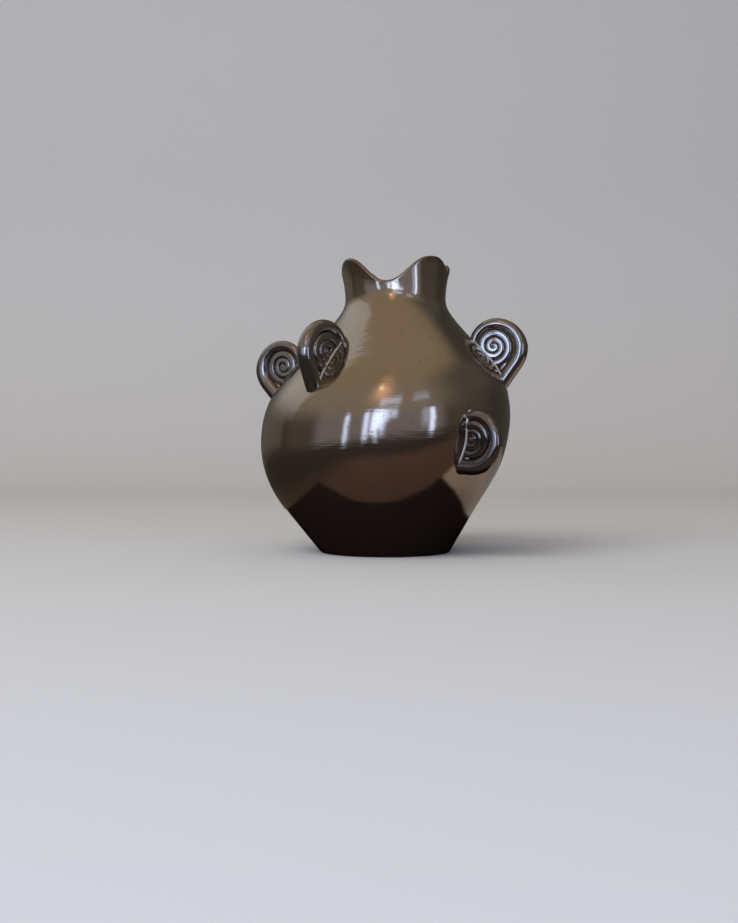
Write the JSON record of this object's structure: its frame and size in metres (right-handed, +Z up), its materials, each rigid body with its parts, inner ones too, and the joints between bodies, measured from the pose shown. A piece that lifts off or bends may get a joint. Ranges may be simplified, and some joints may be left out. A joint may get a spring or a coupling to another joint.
{
  "type": "vase",
  "caption": "Hand-built glazed stoneware vase with a wide belly, a short neck with a lobed mouth, and coiled spiral handles on its wall.",
  "frame": {"origin": "middle of the flat foot, on the surface that the vase stands on", "axes": "+Z up along the vase, -Y towards the front where the mouth dips lowest, +X to the right of the front"},
  "size_m": [0.2983, 0.2788, 0.3209],
  "materials": {
    "body_glaze": "gunmetal bronze lustre glaze, mirror bright, darker towards the foot",
    "handle_glaze": "the same lustre glaze over rolled coils, breaking to brown on their ridges"
  },
  "bodies": {
    "root": {"base_slab": "body_glaze", "lower_wall": "body_glaze", "shoulder_wall": "body_glaze", "mouth_collar": "body_glaze", "handle_upper_right": "handle_glaze", "handle_upper_left": "handle_glaze", "handle_upper_front": "handle_glaze", "handle_lower_front": "handle_glaze", "handle_upper_back": "handle_glaze", "handle_lower_back": "handle_glaze"}
  },
  "joints": []
}
